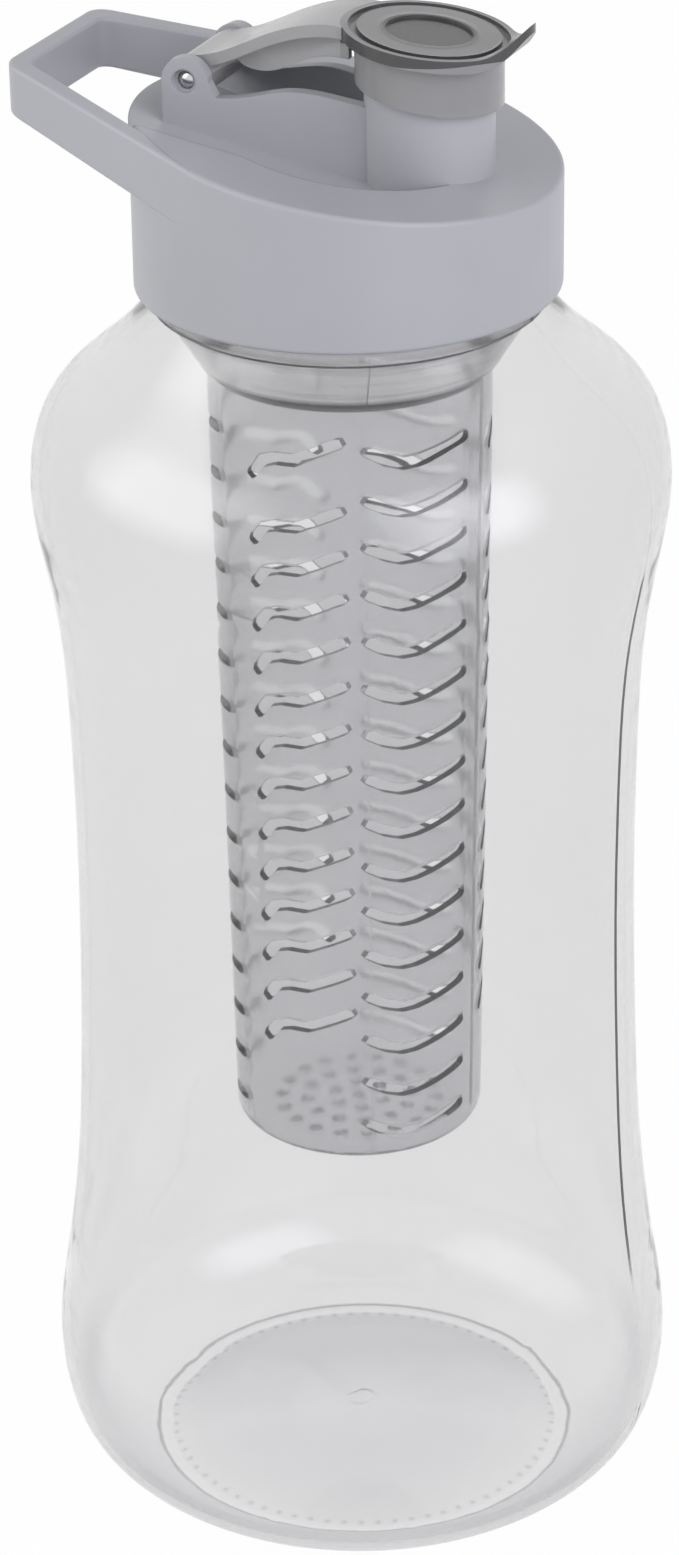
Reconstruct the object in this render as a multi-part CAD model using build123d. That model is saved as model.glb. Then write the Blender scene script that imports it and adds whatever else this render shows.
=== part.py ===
from build123d import *
import math
import os

# Fruit infuser water bottle in millimetres, standing on its foot at Z = 0.
# The axis of the bottle is Z, the spout is towards +X and the carrying loop towards -X.

# Clear bottle
body_radius = 58.6
body_height = 236.0
body_wall = 1.5
foot_share = 0.69
foot_width = 2.6
foot_rise = 5.0
neck_radius = 34.8
neck_height = 17.0
neck_wall = 1.7

# Screw thread between the neck and the cap, with two starts
thread_lead = 8.0
thread_starts = 2
thread_turns = 0.9
thread_depth = 1.0
thread_root_width = 2.4
thread_crest_width = 0.9
thread_top_gap = 1.6
thread_gap = 0.5

# Infuser basket
basket_clearance = 0.35
collar_inner_gap = 0.35
basket_wall = 1.5
basket_top_gap = 0.5
collar_depth = 18.0
crease_drop = 10.4
crease_radius = 27.3
tube_top_radius = 25.4
tube_bottom_radius = 23.1
tube_length = 152.1
tube_bottom_fillet = 3.0
crease_ledge = 0.9
slot_height = 2.1
slot_end_step = 38.0
slot_column_sets = 3
rising_rows = 14
rising_foot_gap = 31.4
rising_head_gap = 12.3
rising_top_lift = 4.2
rising_rise = 7.6
rising_start = -43.5
rising_span = 37.5
sagging_rows = 16
sagging_foot_gap = 7.1
sagging_head_gap = 10.5
sagging_rise = 2.6
sagging_start = 7.6
sagging_span = 44.0
first_column_turn = -66.2
drain_radius = 1.35
drain_ring_step = 4.9
drain_rings = 3
drains_per_ring = 6

# Screw cap, cut at its top by a leaning plane
cap_radius = 37.7
cap_base_gap = 2.8
cap_wall = 1.5
cap_height = 26.9
cap_lean = 9.475
cap_edge = 0.8
cap_roof = 2.6
dish_radius = 24.4
dish_depth = 4.3
dish_lean = 12.8
dish_way_width = 45.2
plug_ring_wall = 1.6
plug_ring_depth = 8.0
seal_height = 1.6
seal_depth = 0.9
seal_drop = 4.0
seal_squeeze = 0.3
gasket_thickness = 1.8
gasket_gap = 0.1

# Carrying loop, one moulding with the cap
loop_reach = 57.0
loop_end_width = 35.6
loop_thickness = 3.4
loop_corner = 5.0
loop_top_lean = 12.3
loop_bottom_lean = 14.7
loop_bottom_rise = 18.2
loop_edge = 0.7

# Spout
spout_place = 15.6
spout_radius = 11.3
spout_wall = 2.3

# Channel for the cover's arm, with the two hinge ears
hinge_place = -25.3
hinge_rise = 9.8
channel_width = 23.8
channel_wall = 2.6
channel_taper = 8.4
channel_length = 32.5
ear_radius = 4.25
ear_flank = 5.6
channel_low_drop = 2.6
channel_high_drop = 0.6
channel_high_step = 18.3
channel_end_drop = 2.4

# Hinge pin
pin_radius = 1.6
pin_fit = 0.02
pin_running_gap = 0.08
pin_sink = 0.9
pin_sink_radius = 2.1

# Flip cover
cover_side_gap = 1.0
barrel_radius = 3.7
plate_thickness = 2.2
plate_middle_step = 11.8
plate_middle_rise = 7.9
disc_radius = 15.0
disc_rise = 10.15
disc_lean = 6.84
disc_back_step = 12.6
lip_step = 11.4
lip_length = 7.6
lip_rise = 4.6
lip_round = 5.0
groove_outer_radius = 13.9
groove_width = 1.5
groove_depth = 0.7
pad_radius = 7.5
pad_depth = 0.5
skirt_gap = 0.45
skirt_wall = 1.1
skirt_depth = 10.25
skirt_foot_lean = 9.4
rib_place = 5.6
rib_thickness = 1.4
rib_depth = 4.2
rib_inset = 7.0

# Silicone plug under the cover
plug_flange_radius = 10.6
plug_flange_thickness = 1.2
plug_flange_gap = 0.15
plug_depth = 5.5
plug_fit = 0.25
plug_taper = 0.75
plug_hollow_wall = 1.6

# One overrun serves every cut, and one small sink joins fused pieces
overrun = 30.0
sink = 0.3

# Shares of the body's height, and of the way from the neck's radius out to the body's,
# along its outside from the foot to the shoulder
side_shares = (
    (0.0177, 0.636),
    (0.0403, 0.853),
    (0.0720, 0.966),
    (0.1174, 1.000),
    (0.1800, 0.919),
    (0.2700, 0.805),
    (0.3820, 0.742),
    (0.5280, 0.710),
    (0.6510, 0.724),
    (0.7570, 0.796),
    (0.8030, 0.877),
    (0.8500, 0.943),
    (0.8880, 0.916),
    (0.9230, 0.771),
    (0.9547, 0.441),
    (0.9716, 0.256),
    (0.9856, 0.130),
)

# Shares of a slot's span and of its rise, for the two kinds of wavy slot
rising_shares = ((0.0, 0.0), (0.13, 0.36), (0.30, 0.50), (0.53, 0.53), (0.78, 0.78), (1.0, 1.0))
sagging_shares = ((0.0, 1.0), (0.14, 0.44), (0.30, 0.06), (0.45, 0.08), (0.62, 0.30), (1.0, 0.75))

foot_radius = body_radius * foot_share
rim_height = body_height + neck_height
bore_radius = neck_radius - neck_wall
gasket_base = rim_height + gasket_gap
land_height = gasket_base + gasket_thickness + gasket_gap
collar_radius = bore_radius - basket_clearance
collar_top = rim_height - basket_top_gap
plug_ring_radius = collar_radius - basket_wall - collar_inner_gap
cavity_radius = plug_ring_radius - plug_ring_wall
cap_inner_radius = cap_radius - cap_wall
cap_base = body_height + cap_base_gap
cap_top = cap_base + cap_height
crease_height = body_height - crease_drop
tube_bottom_height = crease_height - tube_length
hinge_height = cap_top + hinge_rise
disc_height = hinge_height + disc_rise
disc_slope = math.tan(math.radians(disc_lean))
dish_slope = math.tan(math.radians(dish_lean))
cap_slope = math.tan(math.radians(cap_lean))


def leaning_plane(height, lean, place=0.0):
    """A plane through (place, 0, height) that falls towards +X by lean degrees."""
    turn = math.radians(lean)
    return Plane(origin=(place, 0, height), x_dir=(0, 1, 0), z_dir=(math.sin(turn), 0, math.cos(turn)))


def below(shape, plane):
    return split(shape, bisect_by=plane, keep=Keep.BOTTOM)


def above(shape, plane):
    return split(shape, bisect_by=plane, keep=Keep.TOP)


def pipe(outer, inner, bottom, top, place=0.0):
    """A tube with a vertical axis at X = place."""
    ring = Circle(outer) - Circle(inner) if inner else Circle(outer)
    return extrude(Pos(place, 0, bottom) * ring, top - bottom)


def moved_along_normals(points, distance):
    """The points of a line, each moved to the right of the line's direction."""
    moved = []
    for index, point in enumerate(points):
        before = points[max(index - 1, 0)]
        after = points[min(index + 1, len(points) - 1)]
        along_x = after[0] - before[0]
        along_y = after[1] - before[1]
        length = math.hypot(along_x, along_y)
        moved.append((point[0] + distance * along_y / length, point[1] - distance * along_x / length))
    return moved


def turned(outline):
    """The solid of revolution about Z of a closed outline drawn as radius and height."""
    return revolve(Plane.XZ * make_face(outline), Axis.Z)


def thread_ridges(root_radius, depth, bottom):
    """Helical ridges on a cylinder: a positive depth stands out, a negative one stands in."""
    ridges = []
    half_root = thread_root_width / 2
    half_crest = thread_crest_width / 2
    inside = -sink if depth > 0 else sink
    for start in range(thread_starts):
        path = Helix(thread_lead, thread_lead * thread_turns, root_radius, center=(0, 0, bottom))
        section = Plane(origin=path @ 0, x_dir=(1, 0, 0), z_dir=path % 0) * make_face(Polyline(
            (inside, -half_root), (depth, -half_crest), (depth, half_crest), (inside, half_root),
            close=True))
        ridge = sweep(section, path, is_frenet=True)
        ridges.append(Rot(0, 0, start * 360 / thread_starts) * ridge)
    return ridges


def make_bottle():
    belly = body_radius - neck_radius
    outside = [(neck_radius + out * belly, up * body_height) for up, out in side_shares]
    inside = moved_along_normals(outside, -body_wall)
    foot_inner = foot_radius - foot_width
    neck_foot = (neck_radius, body_height)
    bore_foot = (bore_radius, body_height)
    outline = [
        TangentArc((0, foot_rise), (foot_inner, 0), tangent=(1, 0)),
        Line((foot_inner, 0), (foot_radius, 0)),
        Spline((foot_radius, 0), *outside, neck_foot),
        Line(neck_foot, (neck_radius, rim_height)),
        Line((neck_radius, rim_height), (bore_radius, rim_height)),
        Line((bore_radius, rim_height), bore_foot),
        Spline(bore_foot, *reversed(inside), (foot_radius, body_wall)),
        Line((foot_radius, body_wall), (foot_inner, body_wall)),
        TangentArc((0, foot_rise + body_wall), (foot_inner, body_wall), tangent=(1, 0)),
        Line((0, foot_rise + body_wall), (0, foot_rise)),
    ]
    bottle = turned(outline)
    thread_bottom = rim_height - thread_top_gap - thread_lead * thread_turns
    for ridge in thread_ridges(neck_radius, thread_depth, thread_bottom):
        bottle += ridge
    return bottle


def round_end(middle, before):
    """Points that round off the end of a slot's line, in the direction from the point before it."""
    radius = slot_height / 2
    facing = math.atan2(middle[1] - before[1], middle[0] - before[0])
    turns = [facing + math.radians(turn) for turn in (-slot_end_step, slot_end_step)]
    return [(middle[0] + radius * math.cos(turn), middle[1] + radius * math.sin(turn)) for turn in turns]


def slot_cutter(shares, span, rise, height, turn):
    """One wavy slot with round ends, cut straight in from the outside of the tube."""
    radius = tube_top_radius
    middle = span / 2
    points = []
    for along, up in shares:
        angle = math.radians(along * span - middle)
        points.append((radius * math.sin(angle), height + (up - shares[-1][1]) * rise))
    low = moved_along_normals(points, slot_height / 2)
    high = moved_along_normals(points, -slot_height / 2)
    last_end = round_end(points[-1], points[-2])
    first_end = round_end(points[0], points[1])
    outline = Polyline(*low, *last_end, *reversed(high), *first_end, close=True)
    facing = Plane(origin=(0, 0, 0), x_dir=(0, 1, 0), z_dir=(1, 0, 0))
    cutter = extrude(facing * make_face(outline), radius + overrun)
    reach = pipe(radius + overrun, tube_bottom_radius / 2, 0, rim_height)
    return Rot(0, 0, turn + middle) * (cutter & reach)


def make_basket():
    wall = basket_wall
    collar_foot = collar_top - collar_depth
    floor = tube_bottom_height
    ledge_height = crease_height - crease_ledge
    outline = Polyline(
        (0, floor),
        (tube_bottom_radius, floor),
        (tube_top_radius, ledge_height),
        (crease_radius, crease_height),
        (collar_radius, collar_foot),
        (collar_radius, collar_top),
        (collar_radius - wall, collar_top),
        (collar_radius - wall, collar_foot),
        (crease_radius - wall, crease_height),
        (tube_top_radius - wall, ledge_height - wall),
        (tube_bottom_radius - wall, floor + wall),
        (0, floor + wall),
        close=True)
    basket = turned(outline)
    bottom_edge = basket.edges().filter_by(GeomType.CIRCLE).group_by(Axis.Z)[0]
    basket = fillet(bottom_edge, tube_bottom_fillet)
    cutters = []
    slots = (
        (rising_shares, rising_rows, rising_foot_gap, rising_head_gap,
         rising_rise, rising_span, rising_start, rising_top_lift),
        (sagging_shares, sagging_rows, sagging_foot_gap, sagging_head_gap,
         sagging_rise, sagging_span, sagging_start, 0),
    )
    for shares, rows, foot_gap, head_gap, rise, span, start, top_lift in slots:
        pitch = (tube_length - foot_gap - head_gap) / (rows - 1)
        for column_set in range(slot_column_sets):
            turn = first_column_turn + start + column_set * 360 / slot_column_sets
            for row in range(rows):
                lift = top_lift if row == rows - 1 else 0
                height = floor + foot_gap + row * pitch + lift
                cutters.append(slot_cutter(shares, span, rise, height, turn))
    drain = pipe(drain_radius, 0, floor - overrun, floor + wall + overrun / 4)
    cutters.append(drain)
    for ring in range(1, drain_rings + 1):
        count = drains_per_ring * ring
        for index in range(count):
            cutters.append(Rot(0, 0, 360 * index / count) * Pos(ring * drain_ring_step, 0, 0) * drain)
    return basket - cutters


def loop_side_line(reach, end_width, radius):
    """Where a line from the loop's end corner touches the cap's side, as X and Y."""
    distance = math.hypot(reach, end_width / 2)
    corner_angle = math.atan2(end_width / 2, -reach)
    touch_angle = corner_angle - math.acos(radius / distance)
    return radius * math.cos(touch_angle), radius * math.sin(touch_angle)


def loop_plan(reach, end_width, radius, corner):
    touch_x, touch_y = loop_side_line(reach, end_width, radius)
    plan = make_face(Polyline(
        (touch_x, touch_y), (-reach, end_width / 2), (-reach, -end_width / 2), (touch_x, -touch_y),
        close=True))
    return fillet(plan.vertices().group_by(Axis.X)[0], corner)


def make_loop():
    outer = loop_plan(loop_reach, loop_end_width, cap_radius, loop_corner)
    inner = loop_plan(
        loop_reach - loop_thickness, loop_end_width - 2 * loop_thickness,
        cap_radius - loop_thickness, loop_corner - loop_thickness / 2)
    touch_x = loop_side_line(loop_reach, loop_end_width, cap_radius)[0]
    top_plane = leaning_plane(cap_top - touch_x * cap_slope, loop_top_lean, touch_x)
    bottom_plane = leaning_plane(cap_base + loop_bottom_rise, loop_bottom_lean, touch_x)
    band = extrude(Pos(0, 0, cap_base) * (outer - inner), cap_top - cap_base + overrun)
    band = above(below(band, top_plane), bottom_plane)
    long_edges = band.edges().filter_by(Axis.Z, reverse=True)
    outward = [edge for edge in long_edges if edge.center().X < touch_x - loop_thickness]
    band = fillet(outward, loop_edge)
    return band - pipe(cap_radius - cap_wall / 2, 0, 0, cap_top + overrun)


def make_channel():
    """The two side walls with their hinge ears, which come together towards the spout."""
    back = hinge_place - ear_radius
    end = hinge_place + channel_length
    foot = cap_top - dish_depth - end * dish_slope - sink
    low_point = (hinge_place + ear_flank, hinge_height - channel_low_drop)
    end_point = (end, hinge_height - channel_end_drop)
    wall_outline = [
        Line((back, foot), (back, hinge_height)),
        ThreePointArc(
            (back, hinge_height),
            (hinge_place, hinge_height + ear_radius),
            (hinge_place + ear_radius, hinge_height)),
        Line((hinge_place + ear_radius, hinge_height), low_point),
        Spline(
            low_point,
            (hinge_place + channel_high_step, hinge_height - channel_high_drop),
            end_point,
            tangents=((1, 0), (1, -cap_slope))),
        Line(end_point, (end, foot)),
        Line((end, foot), (back, foot)),
    ]
    side = Pos(-hinge_place, channel_wall / 2, 0) * extrude(
        Plane.XZ * make_face(wall_outline), channel_wall)
    middle = channel_width / 2 - channel_wall / 2
    return [
        Pos(hinge_place, middle, 0) * Rot(0, 0, -channel_taper) * side,
        Pos(hinge_place, -middle, 0) * Rot(0, 0, channel_taper) * side,
    ]


def spout_top_plane():
    height = disc_height - plate_thickness - plug_flange_thickness - plug_flange_gap
    return leaning_plane(height, disc_lean, spout_place)


def make_cap():
    top_plane = leaning_plane(cap_top, cap_lean)
    roof_plane = leaning_plane(cap_top - dish_depth - cap_roof, dish_lean)
    shell = below(pipe(cap_radius, 0, cap_base, cap_top + overrun), top_plane)
    shell = fillet(shell.edges().filter_by(GeomType.LINE, reverse=True), cap_edge)
    dish = pipe(dish_radius, 0, cap_base, cap_top + overrun)
    dish += Pos(-overrun, 0, cap_top) * Box(2 * overrun, dish_way_width, 2 * overrun)
    dish = above(dish, leaning_plane(cap_top - dish_depth, dish_lean))
    shell -= dish
    shell -= pipe(cap_inner_radius, 0, cap_base - overrun, land_height)
    ring_foot = collar_top - plug_ring_depth
    shell += pipe(plug_ring_radius, cavity_radius, ring_foot, land_height + sink)
    cavity = below(pipe(cavity_radius, 0, cap_base - overrun, cap_top + overrun), roof_plane)
    spout = pipe(spout_radius, 0, land_height, cap_top + overrun, spout_place)
    shell += below(spout, spout_top_plane())
    for piece in make_channel():
        shell += piece
    shell += make_loop()
    shell -= cavity
    shell -= pipe(spout_radius - spout_wall, 0, ring_foot, cap_top + overrun, spout_place)
    seal_foot = collar_top - seal_drop - seal_height
    shell -= pipe(plug_ring_radius + overrun / 4, plug_ring_radius - seal_depth,
                  seal_foot, seal_foot + seal_height) & pipe(plug_ring_radius + sink, 0, 0, rim_height)
    along_pin = Plane(origin=(hinge_place, 0, hinge_height), z_dir=(0, 1, 0))
    half = channel_width / 2
    shell -= extrude(along_pin * Circle(pin_radius + pin_fit), half + overrun, both=True)
    for side in (-1, 1):
        sink_plane = Plane(origin=(hinge_place, side * (half - pin_sink), hinge_height), z_dir=(0, side, 0))
        shell -= extrude(sink_plane * Circle(pin_sink_radius), overrun)
    thread_bottom = rim_height - thread_top_gap - thread_lead * thread_turns
    half_pitch = thread_lead / thread_starts / 2
    for ridge in thread_ridges(cap_inner_radius, thread_crest_reach(), thread_bottom - half_pitch):
        shell += ridge
    return shell


def thread_crest_reach():
    """How far the cap's ridges stand in, leaving the thread's gap above the neck."""
    return -(cap_inner_radius - neck_radius - thread_gap)


def make_gasket():
    return pipe(cap_inner_radius - thread_gap, bore_radius, gasket_base, gasket_base + gasket_thickness)


def make_basket_seal():
    seal_foot = collar_top - seal_drop - seal_height
    inner = plug_ring_radius - seal_depth
    ring = pipe(plug_ring_radius + seal_squeeze, inner, seal_foot, seal_foot + seal_height)
    outer_edges = ring.edges().filter_by(GeomType.CIRCLE).group_by(SortBy.RADIUS)[-1]
    return fillet(outer_edges, seal_depth / 3)


def make_pin():
    length = channel_width - 2 * pin_sink
    pin = Pos(hinge_place, 0, hinge_height) * Rot(90, 0, 0) * Cylinder(pin_radius, length)
    return fillet(pin.edges().filter_by(GeomType.CIRCLE), pin_radius / 3)


def cover_top_points():
    """Points of the cover's top in its middle plane, as X and Z, from the hinge to the lip."""
    disc_back = (spout_place - disc_back_step, disc_height + disc_back_step * disc_slope)
    disc_front = (spout_place + lip_step, disc_height - lip_step * disc_slope)
    lip_tip = (disc_front[0] + lip_length, disc_front[1] + lip_rise)
    return disc_back, disc_front, lip_tip


def make_cover():
    disc_back, disc_front, lip_tip = cover_top_points()
    down = plate_thickness
    hinge_top = (hinge_place, hinge_height + barrel_radius)
    hinge_low = (hinge_place, hinge_height + barrel_radius - down)
    middle = (hinge_place + plate_middle_step, hinge_height + plate_middle_rise)
    lean_tangent = (1, -disc_slope)
    profile = [
        Spline(hinge_top, middle, disc_back, tangents=((1, disc_slope), lean_tangent)),
        Line(disc_back, disc_front),
        Spline(disc_front, lip_tip, tangents=(lean_tangent, (1, 1))),
        Line(lip_tip, (lip_tip[0] + down / 3, lip_tip[1] - down / 3)),
        Spline(
            (lip_tip[0] + down / 3, lip_tip[1] - down / 3),
            (disc_front[0], disc_front[1] - down),
            tangents=((-1, -1), (-1, disc_slope))),
        Line((disc_front[0], disc_front[1] - down), (disc_back[0], disc_back[1] - down)),
        Spline(
            (disc_back[0], disc_back[1] - down), (middle[0], middle[1] - down), hinge_low,
            tangents=((-1, disc_slope), (-1, -disc_slope))),
        Line(hinge_low, hinge_top),
    ]
    slab = extrude(Plane.XZ * make_face(profile), disc_radius + overrun, both=True)
    half_arm = channel_width / 2 - channel_wall - cover_side_gap
    arm_length = spout_place - hinge_place
    plan = Pos(hinge_place + arm_length / 2, 0) * Rectangle(arm_length, 2 * half_arm)
    disc_edge = Pos(spout_place, 0) * Circle(disc_radius)
    lip_edge = Pos(lip_tip[0] - lip_round, 0) * Circle(lip_round)
    plan += make_hull(disc_edge.edges() + lip_edge.edges())
    low = cap_base
    cover = slab & extrude(Pos(0, 0, low) * plan, lip_tip[1] + overrun - low)
    low_plane = leaning_plane(disc_height - down + sink, disc_lean, spout_place)
    skirt_radius = spout_radius + skirt_gap
    skirt = pipe(skirt_radius + skirt_wall, skirt_radius, low, disc_height + overrun, spout_place)
    skirt_plane = leaning_plane(disc_height - skirt_depth, skirt_foot_lean, spout_place)
    skirt = above(below(skirt, low_plane), skirt_plane)
    cover += skirt
    rib_profile = [
        Spline(
            (disc_back[0], disc_back[1] - down + sink), (middle[0], middle[1] - down + sink),
            (hinge_place + rib_inset, hinge_height + barrel_radius),
            tangents=((-1, disc_slope), (-1, -1))),
        Spline(
            (hinge_place + rib_inset, hinge_height + barrel_radius),
            (middle[0], middle[1] - down - rib_depth),
            (disc_back[0], disc_back[1] - down - rib_depth),
            tangents=((0.5, -1), (1, -disc_slope))),
        Line((disc_back[0], disc_back[1] - down - rib_depth), (disc_back[0], disc_back[1] - down + sink)),
    ]
    rib = extrude(Plane.XZ * make_face(rib_profile), rib_thickness)
    for place in (rib_place, rib_thickness - rib_place):
        cover += Pos(0, place, 0) * rib
    cover += Pos(hinge_place, 0, hinge_height) * Rot(90, 0, 0) * Cylinder(barrel_radius, 2 * half_arm)
    along_pin = Plane(origin=(hinge_place, 0, hinge_height), z_dir=(0, 1, 0))
    cover -= extrude(along_pin * Circle(pin_radius + pin_running_gap), overrun, both=True)
    groove = pipe(groove_outer_radius, groove_outer_radius - groove_width, low,
                  disc_height + overrun, spout_place)
    cover -= above(groove, leaning_plane(disc_height - groove_depth, disc_lean, spout_place))
    pad = pipe(pad_radius, 0, low, disc_height + overrun, spout_place)
    cover -= above(pad, leaning_plane(disc_height - pad_depth, disc_lean, spout_place))
    return cover


def make_plug():
    top_plane = leaning_plane(disc_height - plate_thickness, disc_lean, spout_place)
    flange_plane = leaning_plane(
        disc_height - plate_thickness - plug_flange_thickness, disc_lean, spout_place)
    flange = pipe(plug_flange_radius, 0, cap_top, disc_height + overrun, spout_place)
    flange = above(below(flange, top_plane), flange_plane)
    top_radius = spout_radius - spout_wall - plug_fit
    foot_height = disc_height - plate_thickness - plug_flange_thickness - plug_depth
    height = plug_depth + plug_flange_thickness
    stem = Pos(spout_place, 0, foot_height + height / 2) * Cone(
        top_radius - plug_taper, top_radius, height)
    hollow = pipe(top_radius - plug_taper - plug_hollow_wall, 0, foot_height - overrun,
                  foot_height + plug_depth - plug_hollow_wall, spout_place)
    stem = below(stem, flange_plane)
    return flange + stem - hollow


pieces = {
    "bottle_body": make_bottle,
    "infuser_basket": make_basket,
    "cap_shell": make_cap,
    "cap_gasket": make_gasket,
    "basket_seal": make_basket_seal,
    "hinge_pin": make_pin,
    "flip_cover": make_cover,
    "spout_plug": make_plug,
}

os.makedirs("parts", exist_ok=True)
for name, make in pieces.items():
    export_step(make(), "parts/" + name + ".step")
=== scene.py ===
import bpy
import bmesh
import math
from mathutils import Matrix, Vector


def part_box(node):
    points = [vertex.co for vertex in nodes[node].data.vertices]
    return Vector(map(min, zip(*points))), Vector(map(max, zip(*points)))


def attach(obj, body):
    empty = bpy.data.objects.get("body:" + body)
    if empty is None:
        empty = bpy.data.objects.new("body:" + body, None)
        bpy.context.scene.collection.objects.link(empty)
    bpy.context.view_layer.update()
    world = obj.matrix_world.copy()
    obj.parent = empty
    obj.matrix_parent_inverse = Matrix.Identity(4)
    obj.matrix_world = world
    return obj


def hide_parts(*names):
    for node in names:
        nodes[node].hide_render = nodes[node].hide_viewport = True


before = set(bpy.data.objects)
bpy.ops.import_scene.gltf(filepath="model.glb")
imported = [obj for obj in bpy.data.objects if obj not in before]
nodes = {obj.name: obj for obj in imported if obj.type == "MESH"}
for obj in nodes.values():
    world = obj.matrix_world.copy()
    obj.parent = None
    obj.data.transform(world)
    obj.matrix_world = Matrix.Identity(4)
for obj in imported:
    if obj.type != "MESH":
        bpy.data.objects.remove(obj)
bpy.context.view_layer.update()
print("frame is loaded")


# A small wrapper round a shader socket, so that sums on its values read as sums
class Sock:
    def __init__(self, tree, socket=None):
        self.tree = tree
        self.socket = socket

    # Any node: its type, its settings, then what its sockets hold or are linked to
    def make(self, kind, settings={}, sockets={}, output=0):
        node = self.tree.nodes.new(kind)
        for name, value in settings.items():
            setattr(node, name, value)
        for name, value in sockets.items():
            socket = node.inputs[name]
            if isinstance(value, Sock):
                self.tree.links.new(value.socket, socket)
            elif socket.type == "RGBA":
                socket.default_value = (*value, 1)
            else:
                socket.default_value = value
        return Sock(self.tree, node.outputs[output] if len(node.outputs) else None)

    def math(self, operation, *others):
        values = dict(enumerate((self, *others)))
        return self.make("ShaderNodeMath", {"operation": operation}, values)

    def axis(self, letter):
        return self.make("ShaderNodeSeparateXYZ", {}, {"Vector": self}, letter)

    # Held between 0 and 1
    def held(self):
        return self.make("ShaderNodeClamp", {}, {"Value": self})

    def __add__(self, other):
        return self.math("ADD", other)

    def __sub__(self, other):
        return self.math("SUBTRACT", other)

    def __mul__(self, other):
        return self.math("MULTIPLY", other)

    # A number minus this value
    def __rsub__(self, other):
        return self.math("MULTIPLY_ADD", -1.0, other)


def newMaterial(name):
    material = bpy.data.materials.new(name)
    material.use_nodes = True
    material.node_tree.nodes.clear()
    bench = Sock(material.node_tree)
    return material, bench, bench.make("ShaderNodeTexCoord", output="Object")


def noise(place, scale, detail):
    return place.make("ShaderNodeTexNoise", {}, {"Vector": place, "Scale": scale, "Detail": detail})


# The Mix node has sockets of one name for each kind of value, so its colours go by number
def blendColours(share, first, second):
    return share.make("ShaderNodeMix", {"data_type": "RGBA"}, {0: share, 6: first, 7: second}, 2)


# 1 on a line of this place and half width, falling to 0 at its sides
def lineMask(value, at, half):
    return ((value - at).math("ABSOLUTE") * (-1 / half) + 1).math("MAXIMUM", 0.0)


# 0 up to this place, and rising from there to 1 with this slope
def rise(value, at, slope):
    return ((value - at) * slope).held()


# 0 from this place on, and rising to 1 before it with this slope
def fall(value, at, slope):
    return ((at - value) * slope).held()


# A point's place beside an upright line through x and y, and how far it is from that line
def reachFrom(place, x, y):
    moved = place.make("ShaderNodeMapping", {}, {"Vector": place, "Location": (-x, -y, 0)})
    squares = moved.axis("X") * moved.axis("X") + moved.axis("Y") * moved.axis("Y")
    return moved, squares.math("SQRT")


# Its angle round that line
def turnOf(moved):
    return moved.axis("Y").math("ARCTAN2", moved.axis("X"))


# Heights are in millimetres
def bumpOf(height, strength=1.0, under={}):
    return height.make("ShaderNodeBump", {}, {
        "Strength": strength, "Distance": 0.001, "Height": height, **under})


def clearShader(bench, place, look, colour, height):
    gloss = noise(place, *look["smears"]) * look["smearRough"] + look["rough"]
    shader = bench.make("ShaderNodeBsdfPrincipled", {}, {
        "Base Color": colour, "Roughness": gloss, "IOR": look["ior"],
        "Normal": bumpOf(height, look["bump"]), "Transmission Weight": look["clearness"]})
    depth = bench.make("ShaderNodeVolumeAbsorption", {}, {
        "Color": look["depthColour"], "Density": look["depth"]})
    bench.make("ShaderNodeOutputMaterial", {}, {"Surface": shader, "Volume": depth})


def dress(piece, material):
    piece.data.materials.clear()
    piece.data.materials.append(material)


def addObject(name, data):
    added = bpy.data.objects.new(name, data)
    bpy.context.scene.collection.objects.link(added)
    return added


def meshObject(name, shape):
    mesh = bpy.data.meshes.new(name)
    shape.to_mesh(mesh)
    shape.free()
    return addObject(name, mesh)


# In every look, a noise is its scale and detail, and a line its place and half width

# Bottle: clear plastic with a faint smoke, blown, so its wall waves a little
bottleLook = {
    "pale": (0.945, 0.944, 0.948), "deep": (0.905, 0.904, 0.91), "clouds": (18.0, 3.0),
    "depthColour": (0.5, 0.5, 0.505), "depth": 100.0, "ior": 1.45, "clearness": 1.0,
    "rough": 0.015, "smearRough": 0.03, "smears": (70.0, 4.0),
    "waves": (24.0, 2.0), "waveHeight": 0.03, "bump": 0.6,
    "footSlope": 120, "floorMiddle": 0.0009, "floorSlope": 5000,
    "footRing": (0.0406, 0.0005), "ringHeight": 0.1, "ringShadeColour": (0.3, 0.3, 0.32),
    "dotRing": (0.0372, 0.0009), "dotHeight": 0.2, "dots": 72, "dotHalf": 0.28, "dotShade": 0.4,
    "gate": (0.0022, 0.0008), "gateHeight": 0.3, "markShade": 2,
    "base": (0.72, 0.725, 0.745), "baseReach": 0.038, "baseSlope": 45,
    "heelShade": (0.64, 0.64, 0.66), "heelTop": 0.02, "heelSlope": 150,
    "grazing": 0.42, "grazingSlope": 6,
}


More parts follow.
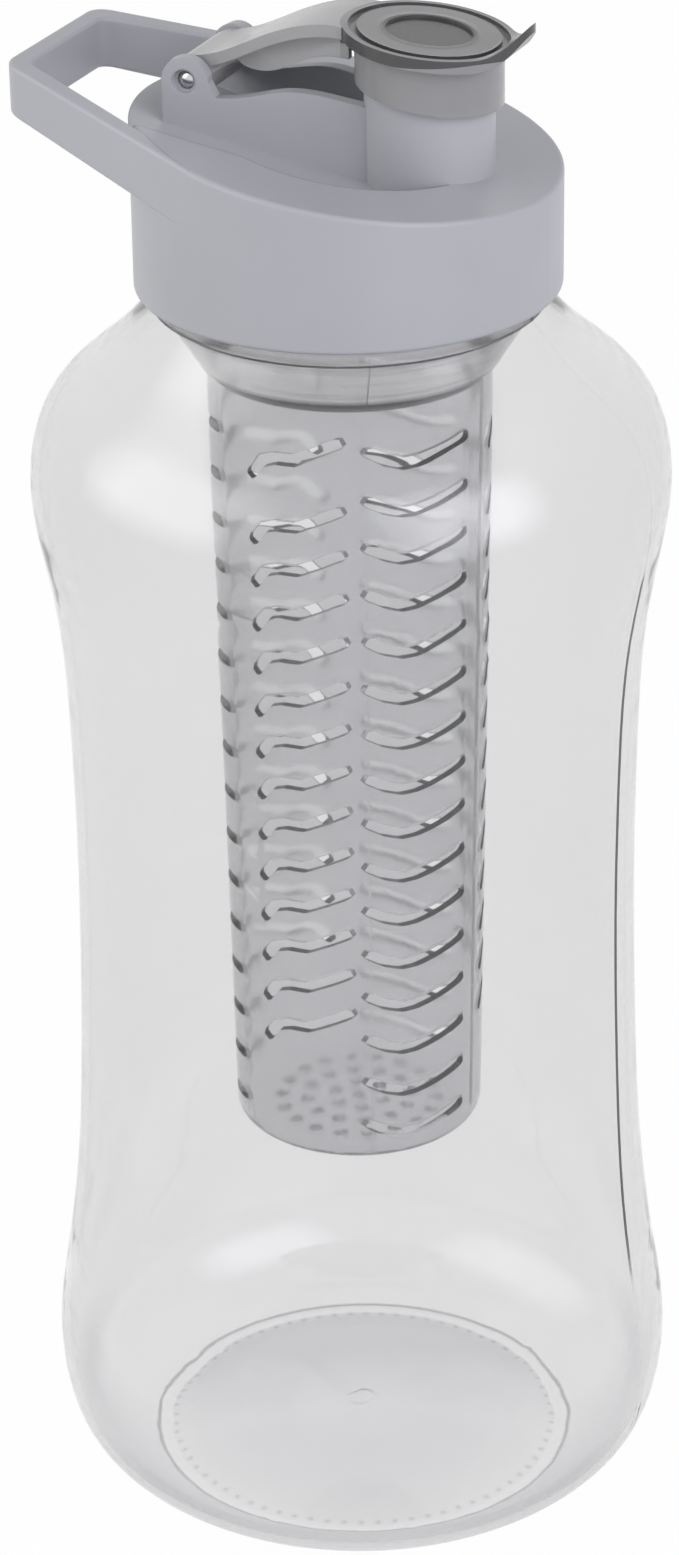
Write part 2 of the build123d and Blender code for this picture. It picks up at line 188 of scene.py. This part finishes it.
def bottlePlastic():
    look = bottleLook
    material, bench, place = newMaterial("clearBottlePlastic")
    moved, reach = reachFrom(place, 0, 0)
    up = moved.axis("Z")
    # Only the foot has moulded marks: the gate, and on its floor's inner side a ring and dots
    low = 1 - (up * look["footSlope"]).math("MINIMUM", 1.0)
    inner = rise(up, look["floorMiddle"], look["floorSlope"])
    step = (turnOf(moved) * (look["dots"] / (2 * math.pi))).math("FRACT")
    dots = lineMask(step, 0.5, look["dotHalf"]) * lineMask(reach, *look["dotRing"]) * inner
    ring = lineMask(reach, *look["footRing"]) * inner
    gate = lineMask(reach, *look["gate"])
    marks = dots * look["dotHeight"] + ring * look["ringHeight"] + gate * look["gateHeight"]
    height = marks * low + noise(place, *look["waves"]) * look["waveHeight"]
    wall = blendColours(noise(place, *look["clouds"]), look["pale"], look["deep"])
    # The push-up is thicker than the wall, so it is darker; at the heel, faces seen at a grazing
    # angle get a painted shade for the dark edge clear plastic shows there
    base = fall(reach, look["baseReach"], look["baseSlope"]) * low
    facing = bench.make("ShaderNodeLayerWeight", {}, {"Blend": 0.5}, "Facing")
    heelShade = (rise(facing, look["grazing"], look["grazingSlope"])
            * fall(up, look["heelTop"], look["heelSlope"]))
    thickAndHeelShade = blendColours(heelShade, blendColours(base, wall, look["base"]), look["heelShade"])
    # Painted shade: the foot's moulded ring and dots are painted darker than the clear wall
    shade = ring.math("MAXIMUM", dots * look["dotShade"]) * low * look["markShade"]
    clearShader(bench, place, look, blendColours(shade, thickAndHeelShade, look["ringShadeColour"]), height)
    return material


# Infuser: smoked plastic, with painted shade along its moulded crease, and two parting lines down
# its side
basketLook = {
    "pale": (0.95, 0.95, 0.965), "deep": (0.89, 0.89, 0.905), "clouds": (45.0, 3.0),
    "depthColour": (0.4, 0.41, 0.43), "depth": 40.0, "ior": 1.42, "clearness": 0.84,
    "rough": 0.08, "smearRough": 0.07, "smears": (110.0, 3.0),
    "ripples": (60.0, 2.0), "rippleHeight": 0.05, "bump": 0.7,
    "partings": ((-1.05, 0.012), (1.9, 0.012)), "partingHeight": 0.15,
    "creaseShade": (0.2252, 0.0015), "creaseShadeColour": (0.04, 0.04, 0.04),
    "funnel": 0.2266, "funnelSlope": 3000, "streakColour": (0.72, 0.7, 0.68),
    "streaks": (26.0, 2.0), "streakThin": 24.0, "streakMiddle": 0.5, "streakSlope": 5,
    "cut": 0.6, "cutSlope": 6, "cutShadeColour": (0.07, 0.07, 0.075),
    "slotsFrom": 0.079, "slotsTo": 0.222,
}


def basketPlastic():
    look = basketLook
    material, bench, place = newMaterial("smokedBasketPlastic")
    moved, reach = reachFrom(place, 0, 0)
    up, turn = moved.axis("Z"), turnOf(moved)
    first, second = (lineMask(turn, *line) for line in look["partings"])
    # Painted shade: a near black line along the moulded crease
    creaseShade = lineMask(up, *look["creaseShade"])
    smoke = blendColours(noise(place, *look["clouds"]), look["pale"], look["deep"])
    # Flow streaks lie round the funnel, where the plastic was drawn thin
    thin = {"Vector": place, "Scale": (1, 1, look["streakThin"])}
    flow = noise(place.make("ShaderNodeMapping", {}, thin), *look["streaks"])
    streaks = (rise(flow, look["streakMiddle"], look["streakSlope"])
               * rise(up, look["funnel"], look["funnelSlope"]))
    # Painted shade: a slot's cut walls don't face outwards and are looked into, so they are painted
    # dark
    normal = bench.make("ShaderNodeTexCoord", output="Normal")
    outward = normal.axis("X") * moved.axis("X") + normal.axis("Y") * moved.axis("Y")
    cut = fall(outward.math("ABSOLUTE").math("DIVIDE", reach), look["cut"], look["cutSlope"])
    slotted = up.math("GREATER_THAN", look["slotsFrom"]) * up.math("LESS_THAN", look["slotsTo"])
    smoke = blendColours(cut * slotted, smoke, look["cutShadeColour"])
    smoke = blendColours(streaks, smoke, look["streakColour"])
    ripples = noise(place, *look["ripples"]) * look["rippleHeight"]
    height = (first + second) * look["partingHeight"] + ripples
    clearShader(bench, place, look, blendColours(creaseShade, smoke, look["creaseShadeColour"]), height)
    return material


# Cover: dark smoky plastic, with moulded rings on its disc, and painted sheen and shade by which
# way its faces point
coverLook = {
    "pale": (0.5, 0.5, 0.51), "deep": (0.43, 0.43, 0.44), "clouds": (90.0, 3.0),
    "depthColour": (0.3, 0.3, 0.31), "depth": 120.0, "ior": 1.47, "clearness": 0.45,
    "rough": 0.2, "smearRough": 0.06, "smears": (140.0, 3.0),
    "ripples": (150.0, 2.0), "rippleHeight": 0.01, "bump": 1.0,
    "discAt": (0.0156, 0.0), "rings": ((0.0128, 0.0008), (0.0082, 0.0010)), "ringHeight": 0.12,
    "eye": 0.0078, "eyeSlope": 1200, "eyeColour": (0.08, 0.08, 0.083),
    "disc": (0.35, 0.35, 0.355), "discReach": 0.0152, "discFoot": 0.2835,
    "upwards": 0.5, "upwardsSlope": 5,
    # The arm tone is lighter than the smoke as a painted sheen, and the edge tone is a painted
    # shade
    "arm": (0.6, 0.6, 0.605), "edge": (0.12, 0.12, 0.122), "flank": (0.58, 0.58, 0.585),
}


def coverPlastic():
    look = coverLook
    material, bench, place = newMaterial("smokyCoverPlastic")
    moved, reach = reachFrom(place, *look["discAt"])
    outer, inner = (lineMask(reach, *line) for line in look["rings"])
    smoke = blendColours(noise(place, *look["clouds"]), look["pale"], look["deep"])
    eye = 1 - rise(reach, look["eye"], look["eyeSlope"])
    arm = reach.math("GREATER_THAN", look["discReach"]) * moved.axis("X").math("LESS_THAN", 0.0)
    top = moved.axis("Z").math("GREATER_THAN", look["discFoot"])
    disc = blendColours(eye, look["disc"], look["eyeColour"])
    wide = blendColours(arm, blendColours(top, smoke, disc), look["arm"])
    # Painted sheen and shade: faces pointing up keep the lighter arm tone, a painted sheen, while
    # the disc top's other faces are painted dark at its edge and the arm's other faces take the
    # flank tone
    normal = bench.make("ShaderNodeTexCoord", output="Normal")
    paintedLitTop = rise(normal.axis("Z"), look["upwards"], look["upwardsSlope"])
    sides = blendColours(arm, look["edge"], look["flank"])
    colour = blendColours((1 - paintedLitTop) * arm.math("MAXIMUM", top), wide, sides)
    ripples = noise(place, *look["ripples"]) * look["rippleHeight"]
    clearShader(bench, place, look, colour, (outer + inner) * look["ringHeight"] + ripples)
    return material


# Cap and silicone: solid moulded plastics, each with its own fine grain
solidLooks = {
    "greyCapPlastic": {
        "pale": (0.43, 0.435, 0.465), "deep": (0.39, 0.395, 0.42), "clouds": (55.0, 3.0),
        "rough": 0.34, "grain": (2400.0, 2.0), "grainHeight": 0.012, "edge": 0.0005},
    "whiteSilicone": {
        "pale": (0.76, 0.77, 0.78), "deep": (0.70, 0.70, 0.72), "clouds": (90.0, 3.0),
        "rough": 0.5, "grain": (1700.0, 2.0), "grainHeight": 0.015, "edge": 0.0002},
    "smokySilicone": {
        "pale": (0.24, 0.24, 0.25), "deep": (0.20, 0.20, 0.21), "clouds": (120.0, 3.0),
        "rough": 0.45, "grain": (1700.0, 2.0), "grainHeight": 0.012, "edge": 0.0002},
}
solidShared = {"ior": 1.47, "cloudRough": 0.12, "edgeSamples": 4}


def solidPlastic(name):
    look = {**solidShared, **solidLooks[name]}
    material, bench, place = newMaterial(name)
    cloud = noise(place, *look["clouds"])
    soft = bench.make("ShaderNodeBevel", {"samples": look["edgeSamples"]}, {"Radius": look["edge"]})
    grain = noise(place, *look["grain"]) * look["grainHeight"]
    shader = bench.make("ShaderNodeBsdfPrincipled", {}, {
        "Base Color": blendColours(cloud, look["pale"], look["deep"]),
        "Roughness": cloud * look["cloudRough"] + look["rough"],
        "IOR": look["ior"], "Normal": bumpOf(grain, under={"Normal": soft})})
    bench.make("ShaderNodeOutputMaterial", {}, {"Surface": shader})
    return material


# Hinge pin: a turned steel rod with domed, polished ends
# Its profile runs from the end's middle to its rim, in shares of the radius and of the dome
pinLook = {
    "steel": (0.66, 0.66, 0.68), "worn": (0.56, 0.56, 0.58), "streaks": (2600.0, 3.0),
    "rough": 0.1, "streakRough": 0.12, "streakHeight": 0.004,
    "dome": 0.0006, "profile": ((0, 0), (0.45, 0.12), (0.8, 0.45), (1, 1)),
    "sides": 40, "weld": 1e-6,
}


def pinSteel():
    look = pinLook
    material, bench, place = newMaterial("pinSteel")
    streaks = noise(place, *look["streaks"])
    shader = bench.make("ShaderNodeBsdfPrincipled", {}, {
        "Base Color": blendColours(streaks, look["steel"], look["worn"]), "Metallic": 1.0,
        "Roughness": streaks * look["streakRough"] + look["rough"],
        "Normal": bumpOf(streaks * look["streakHeight"])})
    bench.make("ShaderNodeOutputMaterial", {}, {"Surface": shader})
    return material


def makePin(steel):
    low, high = (Vector(corner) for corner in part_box("hinge_pin"))
    radius, half = (high.z - low.z) / 2, (high.y - low.y) / 2
    end = [(radius * out, half - pinLook["dome"] * down) for out, down in pinLook["profile"]]
    line = end + [(out, -along) for out, along in reversed(end)]
    shape = bmesh.new()
    chain = [shape.verts.new((out, 0, along)) for out, along in line]
    edges = [shape.edges.new(pair) for pair in zip(chain, chain[1:])]
    bmesh.ops.spin(shape, geom=chain + edges, cent=(0, 0, 0), axis=(0, 0, 1), angle=2 * math.pi,
                   steps=pinLook["sides"], use_merge=True)
    bmesh.ops.remove_doubles(shape, verts=shape.verts, dist=pinLook["weld"])
    bmesh.ops.recalc_face_normals(shape, faces=shape.faces)
    across = Matrix.Rotation(math.pi / 2, 3, "X")
    bmesh.ops.rotate(shape, verts=shape.verts, cent=(0, 0, 0), matrix=across)
    bmesh.ops.translate(shape, verts=shape.verts, vec=(low + high) / 2)
    pin = meshObject("domedPin", shape)
    pin.data.shade_smooth()
    dress(pin, steel)
    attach(pin, "cap")
    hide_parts("hinge_pin")


steel = pinSteel()
dress(nodes["bottle_body"], bottlePlastic())
dress(nodes["infuser_basket"], basketPlastic())
dress(nodes["flip_cover"], coverPlastic())
dress(nodes["cap_shell"], solidPlastic("greyCapPlastic"))
dress(nodes["spout_plug"], solidPlastic("smokySilicone"))
whiteSilicone = solidPlastic("whiteSilicone")
for name in ("cap_gasket", "basket_seal"):
    dress(nodes[name], whiteSilicone)
dress(nodes["hinge_pin"], steel)
makePin(steel)
print("pieces are dressed and the pin is made")

# Camera, floor, backdrop and lamps; a lamp is its place, size, colour and watts
studio = {
    "cameraAt": (0.3081, -0.7057, 0.5171), "heading": 23.8, "pitch": 25.99, "roll": -0.849,
    "lens": 107.4, "sensor": 36,
    "floorSize": 6.0, "floorColour": (0.85, 0.85, 0.85), "floorGlow": 0.98, "roomLight": 0.3,
    "lamps": {"keyLamp": ((-1.1, -0.9, 0.9), (2.6, 2.1), (1, 1, 1), 36.0),
              "fillLamp": ((1.2, -0.5, 0.85), (1.8, 1.9), (0.93, 0.93, 1), 33.0)},
    "lampAim": (0, 0, 0.15), "lampEdge": 3.3,
}


def photoCamera():
    data = bpy.data.cameras.new("camera")
    data.lens = studio["lens"]
    data.sensor_width = studio["sensor"]
    camera = addObject("camera", data)
    camera.matrix_world = (
        Matrix.Translation(studio["cameraAt"])
        @ Matrix.Rotation(math.radians(studio["heading"]), 4, "Z")
        @ Matrix.Rotation(math.radians(90 - studio["pitch"]), 4, "X")
        @ Matrix.Rotation(math.radians(studio["roll"]), 4, "Z"))
    bpy.context.scene.camera = camera


# Rays that show the backdrop: straight from the camera, by a reflection or through a clear piece
def showsBackdrop(bench):
    camera, glossy, through = (bench.make("ShaderNodeLightPath", output=name) for name in (
        "Is Camera Ray", "Is Glossy Ray", "Is Transmission Ray"))
    return (camera + glossy + through).math("MINIMUM", 1.0)


def paleFloor():
    shape = bmesh.new()
    bmesh.ops.create_grid(shape, x_segments=1, y_segments=1, size=studio["floorSize"] / 2)
    floor = meshObject("floor", shape)
    material, bench, _ = newMaterial("paleFloor")
    matt = bench.make("ShaderNodeBsdfDiffuse", {}, {"Color": studio["floorColour"]})
    glow = bench.make("ShaderNodeEmission", {}, {"Color": (1, 1, 1), "Strength": 1.0})
    shown = showsBackdrop(bench) * studio["floorGlow"]
    mixed = bench.make("ShaderNodeMixShader", {}, {0: shown, 1: matt, 2: glow})
    bench.make("ShaderNodeOutputMaterial", {}, {"Surface": mixed})
    dress(floor, material)


def whiteRoom():
    world = bpy.data.worlds.new("room")
    bpy.context.scene.world = world
    world.use_nodes = True
    world.node_tree.nodes.clear()
    bench = Sock(world.node_tree)
    light, white = (
        bench.make("ShaderNodeBackground", {}, {"Color": (1, 1, 1), "Strength": strength})
        for strength in (studio["roomLight"], 1.0))
    mixed = bench.make("ShaderNodeMixShader", {}, {0: showsBackdrop(bench), 1: light, 2: white})
    bench.make("ShaderNodeOutputWorld", {}, {"Surface": mixed})


def softLamp(name, at, size, colour, watts):
    data = bpy.data.lights.new(name, "AREA")
    data.shape = "RECTANGLE"
    data.size, data.size_y = size
    data.color = colour
    data.energy = watts
    data.use_nodes = True
    data.node_tree.nodes.clear()
    bench = Sock(data.node_tree)
    # The lamp fades towards its sides, which are 0.5 from its middle
    across = bench.make("ShaderNodeNewGeometry", output="Parametric")
    fromMiddle = [(across.axis(letter) - 0.5).math("ABSOLUTE") for letter in "XY"]
    wide, high = (fall(distance, 0.5, studio["lampEdge"]) for distance in fromMiddle)
    glow = bench.make("ShaderNodeEmission", {}, {"Color": (1, 1, 1), "Strength": wide * high})
    bench.make("ShaderNodeOutputLight", {}, {"Surface": glow})
    lamp = addObject(name, data)
    lamp.location = at
    aim = Vector(studio["lampAim"]) - Vector(at)
    lamp.rotation_euler = aim.to_track_quat("-Z", "Y").to_euler()


photoCamera()
paleFloor()
whiteRoom()
for name, settings in studio["lamps"].items():
    softLamp(name, *settings)
bpy.context.scene.view_settings.view_transform = "Standard"
print("camera, floor and lamps are set")
